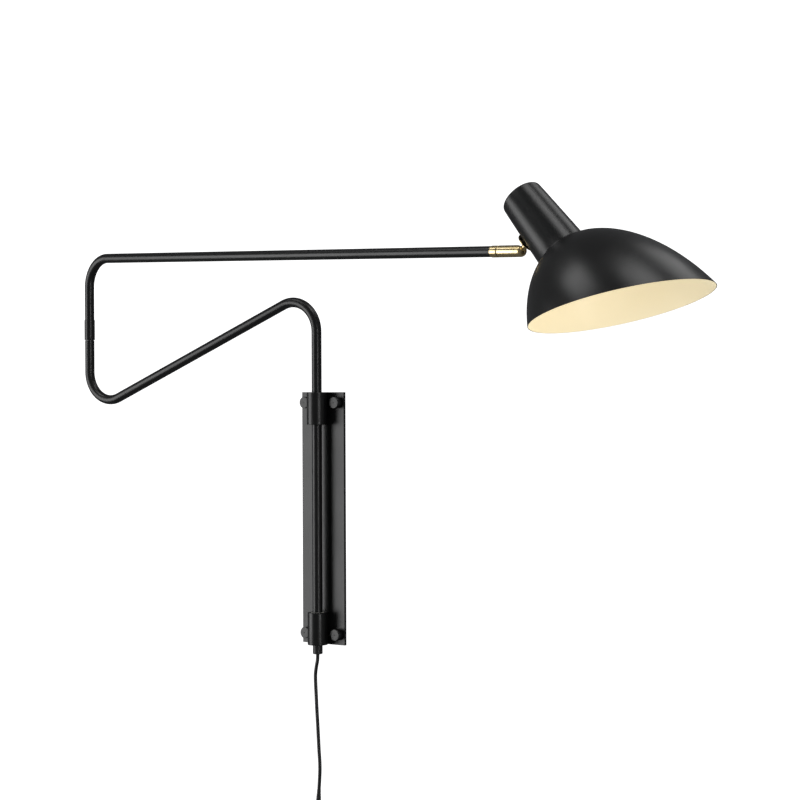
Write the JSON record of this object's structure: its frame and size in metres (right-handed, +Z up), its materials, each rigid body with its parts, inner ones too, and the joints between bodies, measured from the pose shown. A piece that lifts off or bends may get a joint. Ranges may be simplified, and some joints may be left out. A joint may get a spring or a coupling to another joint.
{
  "type": "swing arm wall sconce",
  "caption": "Wall light with a flat plate, two bent tube arms joined by an elbow, a slotted ball swivel and a tilting dome shade, on a plug-in cord.",
  "frame": {"origin": "middle of the wall bracket's back face, on the wall", "axes": "+Y into the wall, -Y into the room, +Z up, +X to the right as one faces the wall"},
  "size_m": [1.0517, 0.2357, 0.9794],
  "materials": {
    "black_satin": "satin black powder coat",
    "shade_sheet": "satin black outside, warm cream enamel inside",
    "brass": "polished pale brass",
    "zinc_steel": "zinc plated",
    "nickel": "nickel plated",
    "nylon": "moulded nylon",
    "black_plastic": "moulded black plastic",
    "cable_pvc": "smooth black cable sheath",
    "wire_white": "white silicone insulation",
    "opal_glass": "opal glass"
  },
  "bodies": {
    "wall_unit": {"wall_bracket": "zinc_steel", "bracket_studs": "zinc_steel", "back_plate": "black_satin", "corner_knobs": "black_satin", "upper_clamp": "black_satin", "lower_clamp": "black_satin", "clamp_screws": "zinc_steel", "upper_bushes": "nylon", "lower_bush": "nylon", "cap_bush": "nylon", "thrust_washer": "brass", "cord_drop": "cable_pvc", "switch_base": "black_plastic", "switch_cover": "black_plastic", "cord_lead": "cable_pvc", "cord_coil": "cable_pvc", "cord_tie": "black_plastic", "cord_tail": "cable_pvc", "plug_body": "black_plastic", "plug_pins": "nickel"},
    "lower_arm": {"lower_arm_tube": "black_satin", "stop_collar": "zinc_steel", "collar_screw": "zinc_steel", "cord_gland": "black_plastic", "lower_cable": "cable_pvc", "elbow_stud": "zinc_steel", "elbow_washer": "black_plastic", "elbow_clip": "zinc_steel"},
    "upper_arm": {"elbow_sleeve": "black_satin", "upper_arm_tube": "black_satin", "end_ring": "brass", "end_nipple": "brass", "barrel_washer": "black_plastic", "barrel_clip": "zinc_steel", "upper_cable": "cable_pvc"},
    "swivel": {"swivel_barrel": "brass", "swivel_head": "brass", "head_screw": "zinc_steel"},
    "stud": {"ball_stud": "brass", "lock_nut": "brass", "stud_nut": "zinc_steel"},
    "shade": {"stud_disc": "brass", "saddle_spacer": "black_plastic", "shade_neck": "black_satin", "shade_dome": "shade_sheet", "holder_bracket": "zinc_steel", "inner_washer": "zinc_steel", "holder_nipple": "brass", "nipple_nut": "brass", "lampholder_cap": "black_plastic", "lampholder_body": "black_plastic", "lampholder_shell": "brass", "centre_contact": "brass", "bulb_cap": "nickel", "bulb_globe": "opal_glass", "shade_wire": "wire_white"},
    "rocker": {"switch_rocker": "black_plastic"}
  },
  "joints": [
    {"name": "wall_swing", "type": "hinge", "parent": "wall_unit", "child": "lower_arm", "pos_m": [0, -0.016, 0], "axis": [0, 0, 1], "range_deg": [-1.5, 175]},
    {"name": "elbow_swing", "type": "hinge", "parent": "lower_arm", "child": "upper_arm", "pos_m": [-0.39965, -0.03275, 0.25], "axis": [0, 0, 1], "range_deg": [-170, 170]},
    {"name": "barrel_turn", "type": "hinge", "parent": "upper_arm", "child": "swivel", "pos_m": [0.39294, -0.11885, 0.32633], "axis": [0.9937, -0.108, -0.0297], "range_deg": [-90, 90]},
    {"name": "shade_tilt", "type": "hinge", "parent": "swivel", "child": "stud", "pos_m": [0.39294, -0.11885, 0.32633], "axis": [-0.108, -0.9942, 0], "range_deg": [-38, 45]},
    {"name": "shade_turn", "type": "hinge", "parent": "stud", "child": "shade", "pos_m": [0.39294, -0.11885, 0.32633], "axis": [0.7597, -0.0825, 0.645], "range_deg": [-45, 45]},
    {"name": "switch_rock", "type": "hinge", "parent": "wall_unit", "child": "rocker", "pos_m": [0, -0.0196, -0.399], "axis": [1, 0, 0], "range_deg": [-14, 0]}
  ]
}
